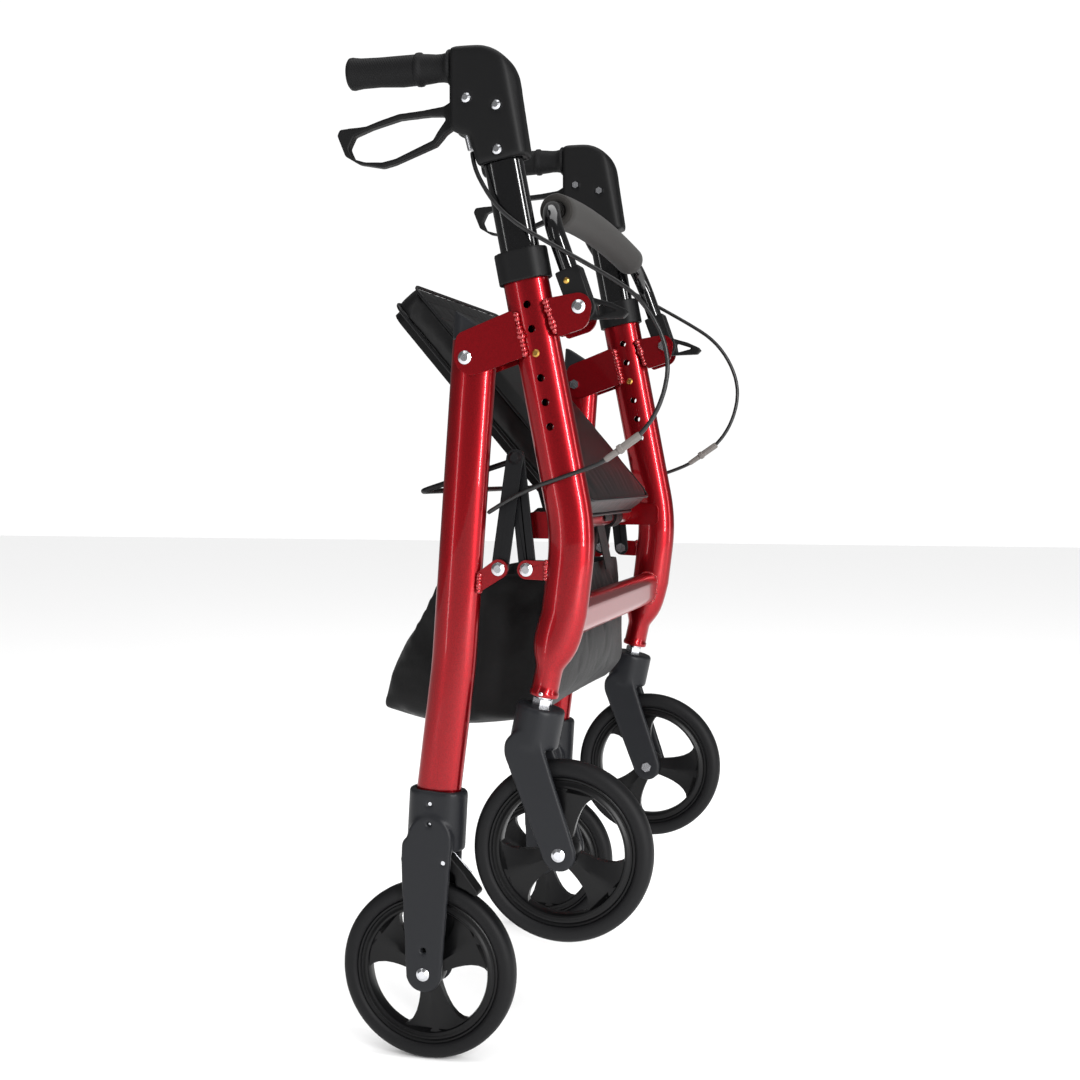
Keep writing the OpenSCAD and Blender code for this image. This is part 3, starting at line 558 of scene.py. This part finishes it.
for s, sx in SIDES:
    bm = bmesh.new()
    oval_tube(bm, sx, stations)
    bores = [(to_side(sx, 0, *(first_hole - k * HOLE_PITCH * POST_UP)), HOLE_R, 80) for k in range(HOLES)]
    dress("oval_post_" + s, drilled(bm, bores), CANDY, "frame", ("post_" + s,), 50)
    bm = bmesh.new()
    oval_tube(bm, sx, leg_stations)
    leg_body = BODY_OF["rear_leg_" + s]
    leg_mesh = drilled(bm, [(to_side(sx, 0, *PIVOT), 4.1, 80)])
    dress("oval_leg_" + s, leg_mesh, CANDY, leg_body, ("rear_leg_" + s,), 50)
    # Weld beads where plates and bars meet the tubes
    for x in (16, -16):
        for name, top, foot in PLATE_WELDS:
            bead("%s_%s_%d" % (name, s, x), [to_side(sx, x, *top), to_side(sx, x, *foot)], "frame", 3.6, 4.6)
    for x in (-0.5, 4.5):
        front_weld = [to_side(sx, x, -45, 531), to_side(sx, x, -44.5, 511)]
        rear_weld = [to_side(sx, x + 5, 25.5, 517), to_side(sx, x + 5, 26.5, 497)]
        bead("weld_tab_%s_%d" % (s, x), front_weld, "frame", 2.8, 3.6)
        bead("weld_leg_tab_%s_%d" % (s, x), rear_weld, leg_body, 2.8, 3.6)
    # Round the end of the lower cross bar
    ahead_bar = Vector((-low_up.y, low_up.x))
    bar = shoulder + Vector((-2, 29))
    loop = []
    for k in range(33):
        a = math.tau * k / 32
        spot = bar + 13 * (math.cos(a) * ahead_bar + math.sin(a) * low_up)
        spot += low_up * (8 if math.sin(a) > 0 else -8)
        loop.append(to_side(sx, -15.5, *spot))
    bead("weld_bar_" + s, loop, "frame", 1.8)
    # Rivet in the neck's rolled lip, and the spring button in the back bar's socket
    bm = bmesh.new()
    lathe(bm, [(-2, 0.01), (-2, 2.4), (0.4, 2.3), (1.2, 1.4), (1.4, 0.01)],
          to_side(sx, 15, *neck_top.lerp(neck_foot, 0.9)), (sx, 0, 0), 24)
    piece("neck_rivet_" + s, bm, ZINC, "frame")
    bm = bmesh.new()
    lathe(bm, [(-2, 0.01), (-2, 3.2), (0.8, 3), (1.8, 1.6), (2, 0.01)],
          to_side(sx, 12.8, -68, 816), (sx, 0, 0), 24)
    piece("spring_button_" + s, bm, BRASS, BODY_OF["back_socket_" + s])


# ---------------------------------------------------------------- wheels
# Sections of the wheel as (place along the axle, radius), in millimetres
TYRE_SECTION = [(-8.5, 78), (-10.5, 79), (-12.2, 82), (-12.5, 86), (-11.6, 90), (-9.3, 93), (-5.5, 94.7),
                (0, 95), (5.5, 94.7), (9.3, 93), (11.6, 90), (12.5, 86), (12.2, 82), (10.5, 79), (8.5, 78),
                (0, 77.5), (-8.5, 78)]
RIM_SECTION = [(-7.5, 66), (-9, 67), (-9.6, 69), (-8.6, 71), (-7.6, 72.5), (-7.6, 74), (-9.6, 75.5),
               (-10, 77), (-9, 78.3), (0, 78.6), (9, 78.3), (10, 77), (9.6, 75.5), (7.6, 74), (7.6, 72.5),
               (8.6, 71), (9.6, 69), (9, 67), (7.5, 66), (0, 65.6), (-7.5, 66)]
HUB_SECTION = [(-15.8, 5), (-15.8, 12), (-14.6, 14), (-11, 15.6), (-8, 17.5), (0, 18.5), (8, 17.5),
               (11, 15.6), (14.6, 14), (15.8, 12), (15.8, 5), (-15.8, 5)]
# Each spoke from hub to rim: (radius, half angle, edge half thickness, ridge half thickness)
SPOKE = [(12, 44, 6, 9.5), (18, 36, 5.5, 9), (24, 30, 4.5, 8.5), (32, 26, 4, 8), (40, 24.5, 4, 7.8),
         (48, 24.5, 4, 7.5), (56, 26, 4.2, 7.3), (62, 28.5, 4.8, 7.4), (66, 31.5, 5.8, 7.6), (69.5, 36, 6.8, 7.8)]


def spoke(bm, centre, turn):
    """One flared spoke, folded along its middle: rings of one section, bridged from hub to rim."""
    rings = []
    for radius, half_angle, edge, ridge in SPOKE:
        section = []
        for side in (1, -1):
            for k in range(-4, 5):
                share = side * k / 4
                thick = ridge - (ridge - edge) * abs(share) ** 0.8
                angle = math.radians(turn + half_angle * share)
                section.append(bm.verts.new(centre + Vector((
                    side * thick * MM, radius * MM * math.cos(angle), radius * MM * math.sin(angle)))))
        rings.append([bm.edges.new((a, b)) for a, b in zip(section, section[1:] + section[:1])])
    for a, b in zip(rings, rings[1:]):
        bmesh.ops.bridge_loops(bm, edges=a + b)
    for ring in (rings[0], rings[-1]):
        bmesh.ops.contextual_create(bm, geom=ring)


def wheel(node, body, turns):
    """A tyre, and its rim with a hub and spokes at these turns, in place of a wheel node."""
    low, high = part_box(node)
    centre = (low + high) / 2
    bm = bmesh.new()
    lathe(bm, TYRE_SECTION, centre, (1, 0, 0), 120)
    piece("tyre_" + node, bm, TYRE, body, (node,), 50)
    bm = bmesh.new()
    lathe(bm, RIM_SECTION, centre, (1, 0, 0), 120)
    lathe(bm, HUB_SECTION, centre, (1, 0, 0), 48)
    for turn in turns:
        spoke(bm, centre, turn)
    piece("rim_" + node, bm, RIM, body, (), 35)


# Where each wheel's spokes stand, from the rear towards the top
wheel("rear_wheel_r", "back_wheel_r", (262, 146, 30))
wheel("rear_wheel_l", "back_wheel_l", (262, 142, 22))
wheel("caster_wheel_r", "front_wheel_r", (215, 90, -25))
wheel("caster_wheel_l", "front_wheel_l", (188, 68, -52))


# ---------------------------------------------------------------- grips
for s, sx in SIDES:
    low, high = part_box("grip_" + s)
    origin = Vector(((low.x + high.x) / 2, low.y, (low.z + high.z) / 2))
    r = 15.5
    profile = [(0, 11), (0, r + 1.5), (1.2, r + 2.8), (3, r + 3), (4.2, r + 2.4), (6, r - 0.2),
               (11, r - 1.2), (17, r - 1.3), (25, r - 0.4), (30, r), (32.5, r + 0.3), (33.5, r + 1.7),
               (36, r + 2), (38.5, r + 1.7), (39.5, r + 0.3), (55, r + 0.1), (80, r - 0.3), (100, r + 0.1),
               (106, r + 0.9), (109, r + 1.4), (112, r + 1), (113.6, r - 1), (114, r - 4), (114, 4),
               (113.2, 0.01)]
    bm = bmesh.new()
    lathe(bm, profile, origin, (0, 1, 0), 64)
    # Finger swell underneath, behind the ridge
    for vert in bm.verts:
        along = (vert.co.y - origin.y) / MM
        below = max(0.0, (origin.z - vert.co.z) / (r * MM))
        if 38 < along < 60:
            vert.co.z -= 2.5 * MM * below * math.sin(math.pi * (along - 38) / 22) ** 2
    piece("grip_sleeve_" + s, bm, GRIP, BODY_OF["grip_" + s], ("grip_" + s,), 50)


# ---------------------------------------------------------------- soft goods
def inflated(mesh, pinned, pressure, growth, cap_mm, frames=20):
    """Blows a cloth mesh up against the places that pinned(co) holds; no point moves more than cap_mm."""
    work = bpy.data.objects.new("cloth", mesh)
    bpy.context.scene.collection.objects.link(work)
    held = work.vertex_groups.new(name="held")
    held.add([v.index for v in mesh.vertices if pinned(v.co)], 1.0, "REPLACE")
    before = [v.co.copy() for v in mesh.vertices]
    cloth = work.modifiers.new("cloth", "CLOTH")
    cloth.settings.quality = 5
    cloth.settings.mass = 0.3
    cloth.settings.bending_stiffness = 0.3
    cloth.settings.use_pressure = True
    cloth.settings.uniform_pressure_force = pressure
    cloth.settings.vertex_group_mass = "held"
    cloth.settings.shrink_min = -growth
    cloth.settings.effector_weights.gravity = 0
    scene = bpy.context.scene
    for step in range(1, frames + 1):
        scene.frame_set(step)
    graph = bpy.context.evaluated_depsgraph_get()
    done = bpy.data.meshes.new_from_object(work.evaluated_get(graph), depsgraph=graph)
    for vert, start in zip(done.vertices, before):
        move = vert.co - start
        if move.length > cap_mm * MM:
            vert.co = start + move * (cap_mm * MM / move.length)
    scene.frame_set(1)
    bpy.data.objects.remove(work)
    return done


# The seat's own directions: X across, Y along the slope, Z out of the cushion; mm from the upper crossbar
SEAT = Matrix.Translation(joint_at["seat_flip"]) @ Matrix.Rotation(math.radians(49.65), 4, "X")
PAD_X, PAD_Y0, PAD_Y1, PAD_Z0, PAD_Z1 = 175, -11, 298, 20.5, 52
STITCH_Y = (274, 250, 226)


def pad_held(co):
    """The underside, the two welted edges and the stitched lines of the cushion stay where they are."""
    x, y, z = co / MM
    rim = min(PAD_X - abs(x), y - PAD_Y0, PAD_Y1 - y)
    if z < PAD_Z0 + 3:
        return True
    if z > PAD_Z1 - 4 and rim < 4:
        return True
    return z > PAD_Z1 - 3 and any(abs(y - line) < 3 for line in STITCH_Y)


bm = bmesh.new()
bmesh.ops.create_cube(bm, size=1)
bmesh.ops.scale(bm, verts=bm.verts, vec=Vector((2 * PAD_X, PAD_Y1 - PAD_Y0, PAD_Z1 - PAD_Z0)) * MM)
bmesh.ops.translate(bm, verts=bm.verts, vec=Vector((0, PAD_Y1 + PAD_Y0, PAD_Z1 + PAD_Z0)) * MM / 2)
upright = [e for e in bm.edges if abs(e.verts[0].co.z - e.verts[1].co.z) > 0.01]
bmesh.ops.bevel(bm, geom=upright, offset=20 * MM, segments=6, affect="EDGES", profile=0.5, material=-1)
block = solid_of(bm, [("REMESH", {"mode": "VOXEL", "voxel_size": 5 * MM})])
blown = inflated(block, pad_held, 4.0, 0.008, 7)
blown = solid_of(blown, [("SMOOTH", {"factor": 0.5, "iterations": 4}), ("SUBSURF", {"levels": 1})])
blown.transform(SEAT)
cushion = dress("seat_cover", blown, VINYL, "seat", ("seat_cushion",), 180)


PAD_CORNER = 20


def rim_points(z):
    """The cushion's outline at height z, as points of the seat."""
    out = []
    mid_y, half_y = (PAD_Y0 + PAD_Y1) / 2, (PAD_Y1 - PAD_Y0) / 2
    for cx, cy, start in ((1, 1, 0), (-1, 1, 90), (-1, -1, 180), (1, -1, 270)):
        for k in range(7):
            a = math.radians(start + 15 * k)
            x = cx * (PAD_X - PAD_CORNER) + math.cos(a) * PAD_CORNER
            y = mid_y + cy * (half_y - PAD_CORNER) + math.sin(a) * PAD_CORNER
            out.append(SEAT @ (Vector((x, y, z)) * MM))
    return out + out[:1]


for name, z in (("top", PAD_Z1 - 1), ("foot", PAD_Z0 + 2)):
    tube_curve("seat_welt_" + name, rim_points(z), 1.9, PIPING, "seat", smooth=False)
for line in STITCH_Y:
    ends = [SEAT @ (Vector((x, line, PAD_Z1 - 0.3)) * MM) for x in (-PAD_X + 3, -90, 0, 90, PAD_X - 3)]
    tube_curve("seat_stitch_%d" % line, ends, 0.9, PIPING, "seat")

# The pouch: a folded sheet that hangs from the upper crossbar, open on top
BAG_X, BAG_TOP = 187, 515
BAG_SIDE = [(-30, 0), (-36, -60), (-36, -135), (-16, -158), (86, -169), (158, -153), (148, -115), (120, -58),
            (92, -7)]


def bag_held(co):
    """The pouch's top hem and the crossbar side are held."""
    y, z = co.y / MM, co.z / MM - BAG_TOP
    return z > -14 and (y < -20 or y > 70) or z > -8


bm = bmesh.new()
face = bm.faces.new([bm.verts.new(Vector((-BAG_X, y, BAG_TOP + z)) * MM) for y, z in BAG_SIDE])
out = bmesh.ops.extrude_face_region(bm, geom=[face])
bmesh.ops.translate(bm, verts=[g for g in out["geom"] if isinstance(g, bmesh.types.BMVert)],
                    vec=Vector((2 * BAG_X * MM, 0, 0)))
bmesh.ops.recalc_face_normals(bm, faces=bm.faces)
shell = solid_of(bm, [("REMESH", {"mode": "VOXEL", "voxel_size": 7 * MM})])
bm = bmesh.new()
bm.from_mesh(shell)
lid = [f for f in bm.faces if f.normal.z > 0.9 and f.calc_center_median().z > (BAG_TOP - 14) * MM]
bmesh.ops.delete(bm, geom=lid, context="FACES")
bm.to_mesh(shell)
bm.free()
pouch = inflated(shell, bag_held, 0.6, 0.012, 12)
pouch = solid_of(pouch, [("SUBSURF", {"levels": 1}), ("SOLIDIFY", {"thickness": 1.0 * MM, "offset": 0})])
bag = dress("pouch", pouch, POUCH, "frame", ("bag",), 180)

# Straps that hold the pouch on the upper crossbar
axis = joint_at["seat_flip"] / MM
for x in (-100, 60):
    outer = [(axis.y + 13.4 * math.cos(math.radians(a)), axis.z + 13.4 * math.sin(math.radians(a)))
             for a in range(200, -21, -20)]
    inner = [(axis.y + 11.9 * math.cos(math.radians(a)), axis.z + 11.9 * math.sin(math.radians(a)))
             for a in range(-20, 201, 20)]
    bm = bmesh.new()
    face = bm.faces.new([bm.verts.new(Vector((x, y, z)) * MM) for y, z in outer + inner])
    out = bmesh.ops.extrude_face_region(bm, geom=[face])
    bmesh.ops.translate(bm, verts=[g for g in out["geom"] if isinstance(g, bmesh.types.BMVert)],
                        vec=Vector((40 * MM, 0, 0)))
    piece("pouch_loop_%d" % x, bm, POUCH, "frame")
    for front in (-12.4, 12.4):
        bm = bmesh.new()
        bmesh.ops.create_cube(bm, size=1)
        bmesh.ops.scale(bm, verts=bm.verts, vec=Vector((40, 1.4, 62)) * MM)
        bmesh.ops.rotate(bm, verts=bm.verts, matrix=Matrix.Rotation(math.radians(front), 3, "X"))
        bmesh.ops.translate(bm, verts=bm.verts, vec=Vector((x + 20, axis.y + front * 0.55, axis.z - 33)) * MM)
        piece("pouch_strap_%d_%d" % (x, front), bm, POUCH, "frame")


# ---------------------------------------------------------------- cables
for s, sx in SIDES:
    # The sheath is held by the handle at its top and by the frame from its rear loop on; here it is the CAD cable
    # smoothed once, riding on no body
    sheath = solid_of(copy_of("brake_cable_" + s), [("SUBSURF", {"levels": 1})])
    sheath = dress("cable_" + s, sheath, CABLE, None, ("brake_cable_" + s,), 60)
    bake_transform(sheath)
    # Adjuster in the cable's rear loop: a grey barrel, a locknut and a thin screw
    start, end = to_side(sx, 25.2, -147, 659.5), to_side(sx, 24, -109, 633)
    way = end - start
    bm = bmesh.new()
    lathe(bm, [(0, 0.01), (0, 3.6), (2, 4.1), (22, 4.1), (23, 5), (27, 5), (28, 3.4), (40, 3.2), (44, 3),
               (44, 0.01)], start, way, 24)
    piece("adjuster_" + s, bm, ADJUSTER, "frame", sharp=30)
    # Bare wire from the sheath's end down to the brake shoe
    tail = [to_side(sx, *spot) for spot in ((3, 62, 229), (2, 54, 219), (1, 45, 209), (1, 37, 201))]
    tube_curve("wire_end_" + s, tail, 0.8, WIRE, BODY_OF["rear_fork_" + s])


# ---------------------------------------------------------------- floor, lights and camera
bm = bmesh.new()
bmesh.ops.create_grid(bm, x_segments=1, y_segments=1, size=12)
floor_mesh = bpy.data.meshes.new("floor")
bm.to_mesh(floor_mesh)
bm.free()
floor = bpy.data.objects.new("floor", floor_mesh)
bpy.context.scene.collection.objects.link(floor)
floor_paint, _, _, _ = finish_of("Matte white floor paint", "#f4f4f4", 0.9)
floor_mesh.materials.append(floor_paint)

world = bpy.data.worlds.new("studio")
bpy.context.scene.world = world
world.use_nodes = True
backdrop = world.node_tree.nodes["Background"]
backdrop.inputs["Color"].default_value = linear("#ffffff")
# The backdrop is white, but dimmer in reflections, so that black stays black
mirrored = add(world.node_tree, "ShaderNodeLightPath").outputs["Is Glossy Ray"]
level = add(world.node_tree, "ShaderNodeMath", {0: mirrored, 1: -0.88, 2: 1.05}, operation="MULTIPLY_ADD")
world.node_tree.links.new(level.outputs[0], backdrop.inputs["Strength"])
bpy.context.scene.view_settings.view_transform = "Standard"


def softbox(name, place, aim, size, power):
    """A rectangular studio light at place, turned towards aim."""
    light = bpy.data.lights.new(name, "AREA")
    light.shape = "RECTANGLE"
    light.size, light.size_y = size
    light.energy = power
    obj = bpy.data.objects.new(name, light)
    obj.location = place
    obj.rotation_euler = (Vector(place) - Vector(aim)).to_track_quat("Z", "Y").to_euler()
    bpy.context.scene.collection.objects.link(obj)


softbox("key", (-2.6, -2.2, 1.5), (0, 0, 0.55), (0.32, 2.4), 120)
softbox("strip", (-2.6, 1.6, 1.3), (0, 0, 0.55), (0.2, 2.4), 10)
softbox("front", (-0.6, -3.2, 1.2), (0, 0, 0.6), (0.5, 2.4), 30)
softbox("top", (0, 0, 3.2), (0, 0, 0.5), (2.5, 2.5), 45)

camera = bpy.data.objects.new("camera", bpy.data.cameras.new("camera"))
bpy.context.scene.collection.objects.link(camera)
bpy.context.scene.camera = camera
AZIMUTH, ELEVATION = math.radians(-75.584), math.radians(2.441)
back = Vector((math.sin(AZIMUTH) * math.cos(ELEVATION), -math.cos(AZIMUTH) * math.cos(ELEVATION),
               math.sin(ELEVATION)))
camera.location = (-1.796, -0.4352, 0.6204)
camera.rotation_euler = back.to_track_quat("Z", "Y").to_euler()
camera.data.sensor_width = 36
camera.data.lens = 51.65
camera.data.clip_start = 0.01
